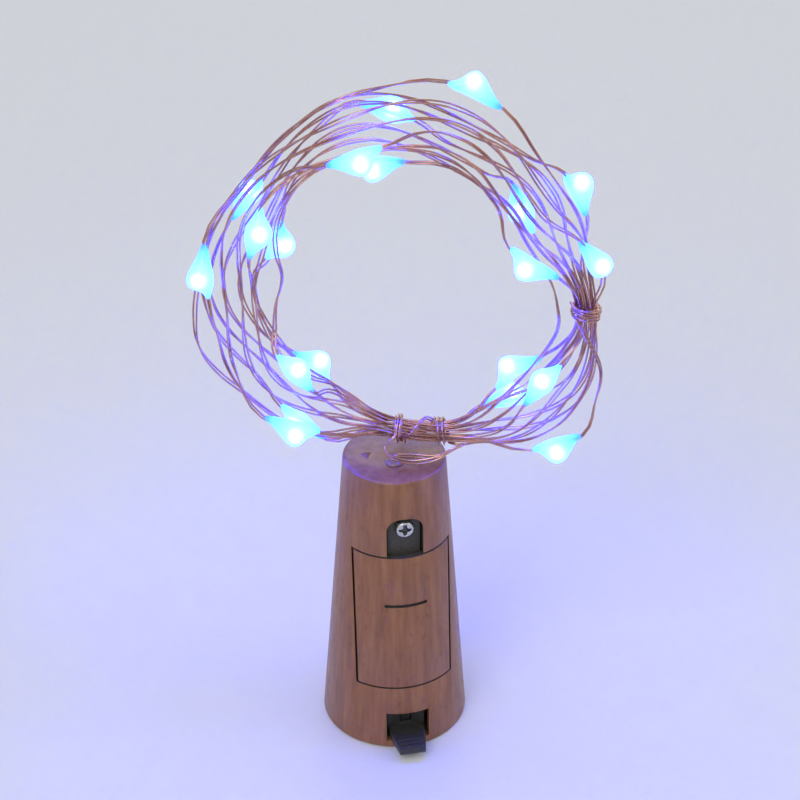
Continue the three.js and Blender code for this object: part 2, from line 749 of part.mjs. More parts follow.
function leads() {
  const boardEnd = -boardBack + stackGap;
  const tabBack = tabOffset + contactThickness + leadRadius + stackGap;
  const tabFront = tabOffset - leadRadius - stackGap;
  const tabLow = chamberHeight - tabReach;
  const tabHigh = topRoomFloor + tabReach;
  const batteryRoute = [
    [0, tabFront, chamberHeight - 0.6 * leadStep],
    [0, tabFront, chamberHeight - 1.4 * leadStep],
    [-0.6 * leadStep, 0.6 * leadStep, tabLow - 0.6 * leadStep],
    [-2.4 * leadStep, -0.8 * leadStep, tabLow - 1.8 * leadStep],
    [-2.6 * leadStep, boardEnd + leadStep, tabLow - 2 * leadStep],
    [-2.6 * leadStep, boardEnd, tabLow - 2 * leadStep],
  ];
  lead("battery_lead", batteryRoute, blackSleeve);
  const positiveRoute = [
    [0, tabBack, tabHigh - 1.8 * leadStep],
    [0, tabBack, tabHigh - 0.4 * leadStep],
    [-0.6 * leadStep, tabBack, tabHigh + 3 * leadStep],
    [-2 * leadStep, 1.4 * leadStep, leadFoot - 2.2 * leadStep],
    [-2.2 * leadStep, exitPlace.y + 0.6 * leadStep, leadFoot - 0.6 * leadStep],
    [-1.9 * leadStep, exitPlace.y, leadFoot + 0.3 * leadStep],
  ];
  lead("positive_lead", positiveRoute, redSleeve);
  const returnRoute = [
    [2.6 * leadStep, boardEnd, tabLow + 0.2 * leadStep],
    [2.6 * leadStep, boardEnd + leadStep, tabLow + 0.2 * leadStep],
    [2.6 * leadStep, 2.4 * leadStep, tabLow],
    [1.2 * leadStep, leadChannelPlace - 1.6 * leadStep, tabLow + 0.2 * leadStep],
    [0, leadChannelPlace, chamberHeight],
    [0, leadChannelPlace, bayFloor + 2 * leadStep],
    [0, leadChannelPlace, bayCeiling - 2 * leadStep],
    [0, leadChannelPlace, topRoomFloor],
    [0.4 * leadStep, leadChannelPlace - 1.8 * leadStep, topRoomFloor + 3 * leadStep],
    [2.2 * leadStep, 2.2 * leadStep, leadFoot - 2.4 * leadStep],
    [1.6 * leadStep, exitPlace.y + 0.6 * leadStep, leadFoot - 0.6 * leadStep],
    [1.1 * leadStep, exitPlace.y, leadFoot + 0.3 * leadStep],
  ];
  lead("return_lead", returnRoute, blackSleeve);
}

// Glue plug round the string, with a flange on the casing's top
function wireSeal() {
  const bore = wireRadius + fitGap;
  const plug = exitHoleRadius - fitGap;
  const seat = casingHeight + stackGap / 2;
  const profile = [
    [bore, topRoomCeiling],
    [plug, topRoomCeiling],
    [plug, seat],
    [sealFlangeRadius, seat],
    [sealFlangeRadius * 0.85, seat + sealFlangeHeight * 0.6],
    [bore + 0.4, seat + sealFlangeHeight],
    [bore, seat + sealFlangeHeight],
    [bore, topRoomCeiling],
  ];
  addPiece("wire_seal", turned(profile, 16).translate(exitPlace.x, exitPlace.y, 0), glue);
}

// The ring's own shape: a round loop, a little oval and three-cornered, of bundled wire
function ringRadius(angle) {
  return ringMean - ringOval * Math.sin(2 * angle * degree) - ringCorners * Math.sin(3 * angle * degree);
}

// 0 where a tie holds the bundle, 1 where it is loose
function looseness(angle) {
  let open = 1;
  for (const tie of ties) {
    const away = Math.abs(((((angle - tie.at + 180) % 360) + 360) % 360) - 180);
    const share = Math.min(Math.max((away - tie.span) / tieEase, 0), 1);
    open *= 1 - tie.hold * (1 - share * share * (3 - 2 * share));
  }
  return open;
}

// A place on the bundle: the angle round the ring, the side round the bundle (0 outwards, 90 to the
// front) and how far it reaches beyond the bundle
function bundlePoint(angle, side, reach) {
  const open = looseness(angle);
  const outwards = (tieRadius + (looseWidth - tieRadius) * open + reach) * Math.cos(side * degree);
  const forwards = (tieRadius + (looseDepth - tieRadius) * open + reach) * Math.sin(side * degree);
  const radius = ringRadius(angle) + outwards;
  const point = ringSide.clone().multiplyScalar(ringCentreX + radius * Math.cos(angle * degree));
  point.addScaledVector(ringFront, forwards);
  point.z = ringCentreZ + radius * Math.sin(angle * degree);
  return point;
}

function bump(turn, middle, span) {
  return Math.exp(-(((turn - middle) / span) ** 2));
}

function coilAngle(turn) {
  return coilFirstAngle + 360 * turn;
}

function coilSide(turn) {
  const angle = coilAngle(turn);
  const stray = wanderTurn * looseness(angle) * Math.sin(2 * Math.PI * 1.63 * turn);
  const twist = sway * Math.sin(swayWaves * (angle - swayPhase) * degree);
  return coilFirstSide + (360 / coilCells) * turn + twist + stray;
}

function smooth(share) {
  const t = Math.min(Math.max(share, 0), 1);
  return t * t * (3 - 2 * t);
}

// A place along the coil, with the lead out to each drop, the loose strays and both joins
function coilPoint(turn) {
  const angle = coilAngle(turn);
  let reach = wander * looseness(angle) * Math.sin(2 * Math.PI * 2.37 * turn + 1);
  const freedom = smooth(looseness(angle) / dropFreedom);
  for (const drop of drops) reach += freedom * drop.reach * bump(turn, drop.turn, dropSpan);
  for (const stray of strays) reach += stray.reach * bump(turn, stray.turn, stray.span);
  reach += wrapReach * (1 - smooth((turn - coilStart) / joinLoops));
  reach += wrapReach * smooth((turn - coilEnd + joinLoops) / joinLoops);
  return bundlePoint(angle, coilSide(turn), reach);
}

// Each drop's place: its middle, the wire's way through it and the way that it bulges
function dropFrames() {
  return drops.map(({ turn }) => {
    const centre = coilPoint(turn);
    const along = coilPoint(turn + 0.01).sub(coilPoint(turn - 0.01)).normalize();
    const inner = bundlePoint(coilAngle(turn), coilSide(turn), 0);
    const outwards = centre.clone().sub(inner);
    outwards.addScaledVector(along, -outwards.dot(along)).normalize();
    return { turn, centre, along, outwards };
  });
}

// Turns of a tie round the bundle, from one angle and side on
function wraps(angle, side, turns) {
  const points = [];
  const pitch = wrapPitch / ringRadius(angle) / degree;
  const steps = Math.round(turns * wrapSteps);
  for (let step = 0; step <= steps; step += 1) {
    const share = (step / steps) * turns;
    points.push(bundlePoint(angle + pitch * share, side + 360 * share, wrapReach));
  }
  return points;
}

function between(from, to, steps) {
  const points = [];
  for (let step = 1; step < steps; step += 1) {
    const share = step / steps;
    const [angle, side, reach] = from.map((value, i) => value + (to[i] - value) * share);
    points.push(bundlePoint(angle, side, reach));
  }
  return points;
}

function ringPlace(across, forwards, height) {
  const point = ringSide.clone().multiplyScalar(across);
  point.addScaledVector(ringFront, forwards);
  point.z = height;
  return point;
}

// The whole string after the seal: two ties at the foot, the loops, and the tie at the right
function stringPoints(frames) {
  const pitchAt = (angle) => wrapPitch / ringRadius(angle) / degree;
  const [leftTie, sideTie] = [266.2, 349.4];
  const leftEnd = [leftTie + 2 * pitchAt(leftTie), 810, wrapReach];
  const archTop = [275, 880, wrapReach + 1.5];
  const rightTurns = 2.5 + coilSide(coilStart) / 360;
  const rightTie = coilAngle(coilStart) - rightTurns * pitchAt(coilFirstAngle);
  const points = slackLoop.map(([across, forwards, rise]) =>
    ringPlace(across, exitOffset + forwards, leadTop + rise),
  );
  points.push(...wraps(leftTie, 90, 2));
  points.push(...between(leftEnd, archTop, 3), bundlePoint(...archTop));
  points.push(...between(archTop, [rightTie, 900, wrapReach], 3));
  points.push(...wraps(rightTie, 900, rightTurns).slice(0, -1));
  const clear = dropLength / 2 + 0.2;
  const steps = Math.round((coilEnd - coilStart) * stepsPerLoop);
  let next = 0;
  for (let step = 0; step <= steps; step += 1) {
    const turn = coilStart + ((coilEnd - coilStart) * step) / steps;
    while (next < frames.length && frames[next].turn <= turn) {
      const { centre, along } = frames[next];
      for (const way of [-clear, clear]) points.push(centre.clone().addScaledVector(along, way));
      next += 1;
    }
    if (frames.every((frame) => Math.abs(frame.turn - turn) > 0.032)) points.push(coilPoint(turn));
  }
  const endSide = coilSide(coilEnd);
  const tailSide = endSide + 120;
  points.push(...between([coilAngle(coilEnd), endSide, wrapReach], [sideTie + 4320, tailSide, wrapReach], 4));
  points.push(...wraps(sideTie, tailSide, 3));
  points.push(bundlePoint(sideTie + 3 * pitchAt(sideTie) + 1.2, tailSide + 30, wrapReach + 0.3));
  return points;
}

// The least clear space between stretches of a tube that lie apart along it
function leastGap(points, thickness, apart) {
  const samples = [];
  let run = 0;
  for (let i = 1; i < points.length; i += 1) {
    const length = points[i].distanceTo(points[i - 1]);
    const pieces = Math.max(1, Math.ceil(length / 0.6));
    for (let piece = 0; piece < pieces; piece += 1) {
      const share = piece / pieces;
      samples.push({ run: run + length * share, point: points[i - 1].clone().lerp(points[i], share) });
    }
    run += length;
  }
  let least = Infinity;
  for (let i = 0; i < samples.length; i += 1) {
    for (let j = i + 1; j < samples.length; j += 1) {
      if (samples[j].run - samples[i].run < apart) continue;
      least = Math.min(least, samples[i].point.distanceToSquared(samples[j].point));
    }
  }
  return Math.sqrt(least) - thickness;
}

function pathLength(points) {
  return points.slice(1).reduce((sum, point, i) => sum + point.distanceTo(points[i]), 0);
}

// One resin drop about a straight wire along X, bulging to +Y, with tapered skirts at both ends
function dropShape(lean) {
  const stations = [-1, -0.72, -0.42, -0.14, 0.14, 0.42, 0.72, 1];
  const sides = 10;
  const corners = [];
  const faces = [];
  for (const station of stations) {
    const swell = (1 - station * station) ** 2.4;
    const radius = dropTipRadius + (dropRadius - dropTipRadius) * swell;
    for (let side = 0; side < sides; side += 1) {
      const angle = (2 * Math.PI * side) / sides;
      const rise = dropOffset * swell + radius * Math.cos(angle);
      corners.push(((station + lean * swell) * dropLength) / 2, rise, radius * Math.sin(angle));
    }
  }
  const last = (stations.length - 1) * sides;
  for (let ring = 0; ring < last; ring += sides) {
    for (let side = 0; side < sides; side += 1) {
      const next = (side + 1) % sides;
      faces.push(ring + side, ring + next, ring + sides + next);
      faces.push(ring + side, ring + sides + next, ring + sides + side);
    }
  }
  for (let side = 1; side < sides - 1; side += 1) {
    faces.push(0, side + 1, side);
    faces.push(last, last + side, last + side + 1);
  }
  const geometry = new THREE.BufferGeometry();
  geometry.setAttribute("position", new THREE.Float32BufferAttribute(corners, 3));
  geometry.setIndex(faces);
  const channel = new THREE.CylinderGeometry(dropChannel, dropChannel, 2 * dropLength, 8);
  channel.rotateZ(Math.PI / 2);
  return solid(geometry).subtract(solid(channel));
}

function stringOfLights() {
  const frames = dropFrames();
  const points = stringPoints(frames);
  const entry = [exitPlace.clone().setZ(leadFoot), exitPlace.clone().setZ(leadTop)];
  addPiece("string_lead", solid(tube(entry, wireRadius, 6)), copper);
  addPiece("string_coil", solid(tube(points, wireRadius, 6)), copper);
  const length = pathLength(points) + pathLength(entry);
  const gap = leastGap(points, 2 * wireRadius, 3);
  console.log(`string: ${length.toFixed(0)} mm, least gap to itself ${gap.toFixed(2)} mm`);
  const shapes = [dropShape(dropLean), dropShape(-dropLean)];
  frames.forEach(({ centre, along, outwards }, i) => {
    const drop = addPiece(`led_drop_${String(i + 1).padStart(2, "0")}`, geometryOf(shapes[i % 2]), resin);
    const across = along.clone().cross(outwards);
    drop.quaternion.setFromRotationMatrix(new THREE.Matrix4().makeBasis(along, outwards, across));
    drop.position.copy(centre);
  });
}

casing();
baseCap();
batteryCover();
coverScrew();
buttonCells();
contacts();
negativeSpring();
thumbSlider();
slideSwitch();
circuitBoard();
leads();
wireSeal();
stringOfLights();

export default bottleLight;
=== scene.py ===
# %% [markdown]
# # A bottle light in Blender
# This light is a cork-shaped battery casing with a string of resin drops that is wound into a ring.
# The imported part is loaded first, as a fixed frame. Each piece below is made in that same frame, in
# metres, so nothing has to be fitted afterwards.

# %% Load the imported part
import math

import bmesh
import bpy
from mathutils import Matrix, Vector


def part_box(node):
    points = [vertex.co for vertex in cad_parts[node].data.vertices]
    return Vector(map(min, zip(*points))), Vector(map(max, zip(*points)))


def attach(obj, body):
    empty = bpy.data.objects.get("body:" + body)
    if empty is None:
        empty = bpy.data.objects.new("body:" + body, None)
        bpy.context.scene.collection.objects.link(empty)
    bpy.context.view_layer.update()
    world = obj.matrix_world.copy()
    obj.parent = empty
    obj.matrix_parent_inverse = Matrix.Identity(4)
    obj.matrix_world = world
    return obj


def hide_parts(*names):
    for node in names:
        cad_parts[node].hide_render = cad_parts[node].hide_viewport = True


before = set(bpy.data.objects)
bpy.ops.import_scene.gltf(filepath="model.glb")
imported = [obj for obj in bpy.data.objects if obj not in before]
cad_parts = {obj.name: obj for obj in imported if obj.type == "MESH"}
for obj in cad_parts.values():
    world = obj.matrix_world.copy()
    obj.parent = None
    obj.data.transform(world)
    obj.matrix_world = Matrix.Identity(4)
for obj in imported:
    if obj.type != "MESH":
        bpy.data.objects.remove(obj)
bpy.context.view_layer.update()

millimetre = 0.001

# %% [markdown]
# ## The camera
# The light is seen from above, about a third of the way from level to straight down, through a long lens,
# so its sides lean together only a little. A constraint could aim the camera, but two fixed angles are
# plainer. A camera in Blender looks along its own -Z, so it is tipped up from straight down and then
# turned to the side. It goes in before the string, because the string has to lie inside its view.

# %% The camera
lens = bpy.data.cameras.new("camera")
lens.sensor_width = 36
lens.lens = 105.4
lens.clip_start = 0.01
camera = bpy.data.objects.new("camera", lens)
camera.location = (-0.0588, -0.2935, 0.2568)
camera.rotation_euler = (math.radians(56.67), 0, math.radians(-11.5))
bpy.context.scene.collection.objects.link(camera)
bpy.context.scene.camera = camera
print("camera: lens", lens.lens, "mm")

# %% [markdown]
# ## The string's route
# The string leaves the casing's narrow end, ties itself round the bundle in two small knots, runs round
# the ring twelve times and ends in a third tie at the right. It could be drawn by hand as a curve, but a
# formula lets one number move a tie or a loop. A place on the string is given by three numbers: the angle
# round the ring, the side round the bundle, and how far it reaches beyond the bundle. Each loop takes the
# next place round the bundle, and the ties pinch the bundle together.

# %% The ring, in millimetres and degrees
ring_turn = math.radians(-11.5)
ring_side = Vector((math.cos(ring_turn), math.sin(ring_turn), 0))
ring_front = Vector((math.sin(ring_turn), -math.cos(ring_turn), 0))
ring_centre_x = 1.8
ring_centre_z = 79.6
ring_mean_radius = 26.2
two_sided_bend = 1.6
three_sided_bend = 1.2


def ring_radius(angle):
    turn = math.radians(angle)
    long_sides = two_sided_bend * math.sin(2 * turn)
    corners = three_sided_bend * math.sin(3 * turn)
    return ring_mean_radius - long_sides - corners


radii = [ring_radius(angle) for angle in range(360)]
print("ring: radius from", round(min(radii), 2), "to", round(max(radii), 2), "mm")

# %% The bundle and where it is held
tie_radius = 1.86
tie_squeeze = 0.42
tie_ease = 28
loose_width = 4.5
loose_depth = 3.3
# Below this looseness a tie squeezes the bundle, and the string leads out less to its drops.
held_below = 0.3
# Each place where the bundle is held: its angle, how many degrees to each side, and how firmly. The first
# is the foot with its two knots, the second is the last tie, and at the third the loops only lie closer.
held_places = [(274, 11, 1), (353.5, 5, 1), (133, 4, 0.5)]


# Goes from 0 to 1 without a corner at either end.
def smooth_share(share):
    inside = min(max(share, 0), 1)
    return inside * inside * (3 - 2 * inside)


def looseness(angle):
    loose = 1
    for at, span, hold in held_places:
        away = abs((angle - at + 180) % 360 - 180)
        loose *= 1 - hold * (1 - smooth_share((away - span) / tie_ease))
    return loose


def bundle_point(angle, side, reach):
    loose = looseness(angle)
    beyond = reach - tie_squeeze * smooth_share(1 - loose / held_below)
    half_width = tie_radius + (loose_width - tie_radius) * loose + beyond
    half_depth = tie_radius + (loose_depth - tie_radius) * loose + beyond
    radius = ring_radius(angle) + half_width * math.cos(math.radians(side))
    point = ring_side * (ring_centre_x + radius * math.cos(math.radians(angle)))
    point += ring_front * (half_depth * math.sin(math.radians(side)))
    point.z = ring_centre_z + radius * math.sin(math.radians(angle))
    return point


print("bundle:", 2 * loose_width, "mm wide where it is loose, held at", len(held_places), "places")

# %% [markdown]
# ## The loops and the places of the drops
# The real string was wound by hand: it strays a little, leads out to each drop, and has a few strands that
# stand away from the bundle. Random numbers could do that, but waves and bumps give the same string each
# time and can be moved one by one. The drops come about every 100 mm of wire, at the turns listed here.

# %% The loops
# Turns are counted in loops from the first angle.
first_angle = 285
coil_start = -0.003
coil_end = 12.12
first_side = 24
side_per_loop = 360 / 13
side_sway = 18
sways_per_loop = 5
sway_from = 20
side_stray = 2.5
side_strays_per_loop = 1.63


def coil_angle(turn):
    return first_angle + 360 * turn


def coil_side(turn):
    angle = coil_angle(turn)
    sway = side_sway * math.sin(sways_per_loop * math.radians(angle - sway_from))
    stray = side_stray * looseness(angle) * math.sin(2 * math.pi * side_strays_per_loop * turn)
    return first_side + side_per_loop * turn + sway + stray


print("loops:", round(coil_end - coil_start, 2))

# %% How far the loops reach beyond the bundle
wander = 0.45
wanders_per_loop = 2.37
wander_phase = 1
# The string leads out to a drop over about this share of a loop, and back over the same.
drop_span = 0.046
# The wraps of a tie stand this far out from the bundle, in millimetres.
wrap_reach = 0.6
# The loops start and end in ties, and ease between the wraps' reach and their own over this share of a loop.
join_loops = 0.045
# Each strand that stands away: its turn, how far it stands away, and over what share of a loop.
strays = [(5.19, 3.4, 0.06), (4.67, 3.2, 0.08), (11.78, 2.4, 0.06)]
# Each drop: its turn, and how far the string leads out to it.
drops = [
    (0.68, 1.8), (1.25, 1.6), (1.85, 1.6), (2.505, 1.6), (3.11, 1.6),
    (3.63, 1.6), (4.26, 1.6), (4.81, 2.4), (5.49, 1.6), (6.09, 1.6),
    (6.65, 1.6), (7.3, 1.6), (7.84, 1.6), (8.475, 1.6), (9.055, 2),
    (9.63, 1.6), (10.29, 2), (10.87, 2.2), (11.408, 2.2), (12.07, 3.8),
]


# A smooth bump of height 1.
def bump_at(turn, middle, span):
    return math.exp(-(((turn - middle) / span) ** 2))


def coil_reach(turn):
    loose = looseness(coil_angle(turn))
    reach = wander * loose * math.sin(2 * math.pi * wanders_per_loop * turn + wander_phase)
    for place, out in drops:
        reach += smooth_share(loose / held_below) * out * bump_at(turn, place, drop_span)
    for place, out, span in strays:
        reach += out * bump_at(turn, place, span)
    reach += wrap_reach * (1 - smooth_share((turn - coil_start) / join_loops))
    reach += wrap_reach * smooth_share((turn - coil_end + join_loops) / join_loops)
    return reach


def coil_point(turn):
    return bundle_point(coil_angle(turn), coil_side(turn), coil_reach(turn))


print("reach: at the first drop", round(coil_reach(drops[0][0]), 2), "mm")

# %% The places of the drops
aim_turn = 0.01


def drop_place(turn):
    middle = coil_point(turn)
    along = (coil_point(turn + aim_turn) - coil_point(turn - aim_turn)).normalized()
    outwards = middle - bundle_point(coil_angle(turn), coil_side(turn), 0)
    outwards = (outwards - along * outwards.dot(along)).normalized()
    return middle, along, outwards


drop_places = [drop_place(turn) for turn, out in drops]
print("drops:", len(drop_places), "places")

# %% [markdown]
# ## From the seal to the tail
# The string comes up out of the seal, goes out to the right and back in a slack loop, and winds round the
# bundle in the left knot. A small arch takes it to the right knot, where its loops start. Its far end
# leaves the loops and makes the last tie. Each stretch below gives its own points, so that one can change
# without the others, and three points through each drop keep the string straight where the resin holds it.

# %% The lead and its slack loop
lead_forwards = 2.2
lead_foot = 46.4
lead_in_hole = 48.6
lead_top = 50.85
# Each point of the slack loop: how far across, forwards and up it lies from the top of the lead.
slack_loop = [
    (0, 0, 0), (0.1, 0, 0.25), (1.2, 0.1, 0.4), (3.4, 0.2, 0.35), (6, 0.6, 0.45),
    (8, 0.5, 1.1), (9.4, 0.3, 1.8), (10.5, 0.5, 2.6), (10.5, 1.4, 3.1), (9.4, 1.9, 3),
    (8.1, 2.1, 2.3), (6.6, 2.2, 1.4), (4.6, 2.4, 0.9), (2.4, 2.4, 0.75), (0.4, 2.2, 1.1),
    (-1, 1.8, 1.8), (-1.4, 1.2, 2.7),
]


def ring_place(across, forwards, height):
    point = ring_side * across + ring_front * forwards
    point.z = height
    return point


lead = [ring_place(0, lead_forwards, height) for height in (lead_foot, lead_in_hole)]
for across, forwards, rise in slack_loop:
    lead.append(ring_place(across, lead_forwards + forwards, lead_top + rise))
print("lead:", len(lead), "points")

# %% Turns round the bundle
wrap_pitch = 0.7
steps_per_wrap = 12


def tie_pitch(angle):
    return math.degrees(wrap_pitch / ring_radius(angle))


def tie_turns(angle, side, turns):
    steps = round(turns * steps_per_wrap)
    shares = [turns * step / steps for step in range(steps + 1)]
    pitch = tie_pitch(angle)
    return [bundle_point(angle + pitch * share, side + 360 * share, wrap_reach) for share in shares]


print("wraps:", wrap_pitch, "mm apart")

# %% The two knots at the foot
left_angle = 266.2
left_side = 90
left_wraps = 2
right_wraps = 2.5
arch_turn = 90
arch_rise = 2
arch_steps = 7


def arch(start, end):
    points = []
    for step in range(1, arch_steps):
        share = step / arch_steps
        angle, side = [low + (high - low) * share for low, high in zip(start, end)]
        points.append(bundle_point(angle, side, wrap_reach + arch_rise * math.sin(math.pi * share)))
    return points


def knots_at_the_foot():
    right_turns = right_wraps + coil_side(coil_start) / 360
    right_angle = coil_angle(coil_start) - right_turns * tie_pitch(first_angle)
    left_end = (left_angle + left_wraps * tie_pitch(left_angle), left_side + 360 * left_wraps)
    right_start = (right_angle, left_end[1] + arch_turn)
    points = tie_turns(left_angle, left_side, left_wraps) + arch(left_end, right_start)
    # The right knot's last point is where the loops start, so it is left out here.
    return points + tie_turns(*right_start, right_turns)[:-1]


knots = knots_at_the_foot()
print("knots:", len(knots), "points")

# %% The loops with a straight run through each drop
steps_per_loop = 36
# The straight run reaches this many millimetres to each side of a drop's middle.
drop_clear = 4.6
# No other point lies nearer to a drop than this share of a loop.
drop_room = 0.048


def loops_with_drops():
    points = []
    passed = 0
    steps = round((coil_end - coil_start) * steps_per_loop)
    for step in range(steps + 1):
        turn = coil_start + (coil_end - coil_start) * step / steps
        while passed < len(drops) and drops[passed][0] <= turn:
            middle, along = drop_places[passed][:2]
            points += [middle - along * drop_clear, middle, middle + along * drop_clear]
            passed += 1
        if all(abs(place - turn) > drop_room for place, out in drops):
            points.append(coil_point(turn))
    return points


loops = loops_with_drops()
print("loops:", len(loops), "points")

# %% The last tie
last_angle = 350
last_wraps = 3
whole_loops = 12
passing_turn = 120
passing_steps = 8
# The cut end stands a little further along, round and out than the last wrap.
tail_angle = 1.2
tail_side = 30
tail_reach = 0.3


def passing(start, end):
    points = []
    for step in range(1, passing_steps):
        share = step / passing_steps
        angle = start[0] + (end[0] - start[0]) * share
        # The side changes slowly at first, so that the strand leaves the loops without a corner.
        side = start[1] + (end[1] - start[1]) * share ** 2
        reach = start[2] + (end[2] - start[2]) * share
        points.append(bundle_point(angle, side, reach))
    return points


def tie_at_the_right():
    start = (coil_angle(coil_end), coil_side(coil_end), coil_reach(coil_end))
    last_side = coil_side(coil_end) + passing_turn
    points = passing(start, (last_angle + 360 * whole_loops, last_side, wrap_reach))
    points += tie_turns(last_angle, last_side, last_wraps)
    tail_end = last_angle + last_wraps * tie_pitch(last_angle) + tail_angle
    points.append(bundle_point(tail_end, last_side + tail_side, wrap_reach + tail_reach))
    return points


route = lead + knots + loops + tie_at_the_right()
print("route:", len(route), "points")

# %% [markdown]
# ## A smooth line through the points
# A real wire has no corners. A spline could be worked out here, but Blender's own Bezier curve with
# automatic handles already draws a smooth line through the points. The curve is read once as a mesh of
# points and then removed, because only the two wires round it are pieces of the light.

# %% A smooth line through the points
line_steps = 4


def smooth_line(points):
    curve = bpy.data.curves.new("route", "CURVE")
    curve.dimensions = "3D"
    curve.resolution_u = line_steps
    spline = curve.splines.new("BEZIER")
    spline.bezier_points.add(len(points) - 1)
    for knot, point in zip(spline.bezier_points, points):
        knot.co = point * millimetre
        knot.handle_left_type = "AUTO"
        knot.handle_right_type = "AUTO"
    holder = bpy.data.objects.new("route", curve)
    bpy.context.scene.collection.objects.link(holder)
    bpy.context.view_layer.update()
    line = [vertex.co.copy() for vertex in holder.to_mesh().vertices]
    holder.to_mesh_clear()
    bpy.data.objects.remove(holder)
    bpy.data.curves.remove(curve)
    return line


string_line = smooth_line(route)
string_length = sum((after - before).length for before, after in zip(string_line, string_line[1:]))
print("string:", len(string_line), "points,", round(string_length, 3), "m")

# %% [markdown]
# ## Two enamelled wires
# The real string is two thin copper wires side by side, twisted lazily about each other, and here and
# there they part a little. One tube with a twisted pattern would be simpler, but it would show no gap and
# no crossing. So a frame is carried along the line without spinning, the two wires turn round it, and a
# bevelled curve gives each wire its thickness.

# %% The pair of wires
twist_length = 31 * millimetre
twist_sway = 0.9
twist_sway_length = 17 * millimetre
half_apart = 0.2
apart_sway = 0.07
apart_sway_length = 23.1 * millimetre


def carried_frames(line):
    frames = []
    normal = Vector((1, 0, 0))
    for i, point in enumerate(line):
        ahead = line[min(i + 1, len(line) - 1)] - line[max(i - 1, 0)]
        ahead.normalize()
        normal = (normal - ahead * normal.dot(ahead)).normalized()
        frames.append((point, normal.copy(), ahead.cross(normal)))
    return frames


def wire_pair(line):
    wires = ([], [])
    run = 0
    last = line[0]
    for point, normal, across in carried_frames(line):
        run += (point - last).length
        last = point
        turn = 2 * math.pi * run / twist_length + twist_sway * math.sin(run / twist_sway_length)
        apart = (half_apart + apart_sway * math.sin(run / apart_sway_length)) * millimetre
        out = (normal * math.cos(turn) + across * math.sin(turn)) * apart
        wires[0].append(point + out)
        wires[1].append(point - out)
    return wires


string_wires = wire_pair(string_line)
print("wires:", len(string_wires), "of", len(string_wires[0]), "points")

# %% Thickness for the wires
wire_radius = 0.15 * millimetre
wire_roundness = 1


def bevelled_wires(wires, radius, roundness):
    curve = bpy.data.curves.new("wires", "CURVE")
    curve.dimensions = "3D"
    curve.bevel_depth = radius
    curve.bevel_resolution = roundness
    curve.use_fill_caps = True
    for wire in wires:
        spline = curve.splines.new("POLY")
        spline.points.add(len(wire) - 1)
        for knot, point in zip(spline.points, wire):
            knot.co = (*point, 1)
    holder = bpy.data.objects.new("wires", curve)
    bpy.context.scene.collection.objects.link(holder)
    bpy.context.view_layer.update()
    work = bmesh.new()
    work.from_mesh(holder.to_mesh())
    holder.to_mesh_clear()
    bpy.data.objects.remove(holder)
    bpy.data.curves.remove(curve)
    for face in work.faces:
        face.smooth = True
    return work


string_work = bevelled_wires(string_wires, wire_radius, wire_roundness)
print("wires:", len(string_work.faces), "faces")

# %% [markdown]
# ## Helpers for finishes
# No real surface has one flat colour. A picture could be laid on each piece, but noise needs no picture
# and has no seams, so a finish is a Principled shader whose colour, roughness and bump come from noise in
# the object's own coordinates. Those are in metres, so a Mapping node first scales them to millimetres:
# then a noise scale of 1 makes spots of about a millimetre, and a different scale along Z makes grain.

# %% Nodes that every finish uses
noise_low = 0.3
noise_high = 0.7


def start_finish(name):
    finish = bpy.data.materials.new(name)
    finish.use_nodes = True
    tree = finish.node_tree
    return finish, tree, tree.nodes["Principled BSDF"]


# Noise with so many spots per millimetre along X, Y and Z.
def spots(tree, per_millimetre, detail, rough):
    coordinates = tree.nodes.new("ShaderNodeTexCoord")
    scale = tree.nodes.new("ShaderNodeMapping")
    noise = tree.nodes.new("ShaderNodeTexNoise")
    scale.inputs["Scale"].default_value = [share / millimetre for share in per_millimetre]
    noise.inputs["Scale"].default_value = 1
    noise.inputs["Detail"].default_value = detail
    noise.inputs["Roughness"].default_value = rough
    tree.links.new(coordinates.outputs["Object"], scale.inputs["Vector"])
    tree.links.new(scale.outputs["Vector"], noise.inputs["Vector"])
    return noise.outputs["Fac"]


# A value turned into colours, which are given as stops of place and colour.
def ramp(tree, value, stops):
    colours = tree.nodes.new("ShaderNodeValToRGB")
    band = colours.color_ramp
    while len(band.elements) < len(stops):
        band.elements.new(0.5)
    for element, (place, colour) in zip(band.elements, stops):
        element.position = place
        element.color = (*colour, 1)
    tree.links.new(value, colours.inputs["Fac"])
    return colours.outputs["Color"]


# A noise turned into a value that goes from low to high.
def between(tree, value, low, high):
    span = tree.nodes.new("ShaderNodeMapRange")
    span.inputs["From Min"].default_value = noise_low
    span.inputs["From Max"].default_value = noise_high
    span.inputs["To Min"].default_value = low
    span.inputs["To Max"].default_value = high
    tree.links.new(value, span.inputs["Value"])
    return span.outputs["Result"]


# A bump of so many millimetres.
def raised(tree, value, shader, height, strength):
    bump = tree.nodes.new("ShaderNodeBump")
    bump.inputs["Distance"].default_value = height * millimetre
    bump.inputs["Strength"].default_value = strength
    tree.links.new(value, bump.inputs["Height"])
    tree.links.new(bump.outputs["Normal"], shader.inputs["Normal"])


print("noise: most of it lies between", noise_low, "and", noise_high)

# %% [markdown]
# ## Enamelled copper
# The wire is copper under a clear lacquer. A brown plastic would look dull beside it. Copper is a metal,
# so its colour is the colour of what it reflects, and the lit drops turn it blue. Slow spots along the
# wire change its tone, as the lacquer does, and a coat on top gives the lacquer's own sharp gloss.

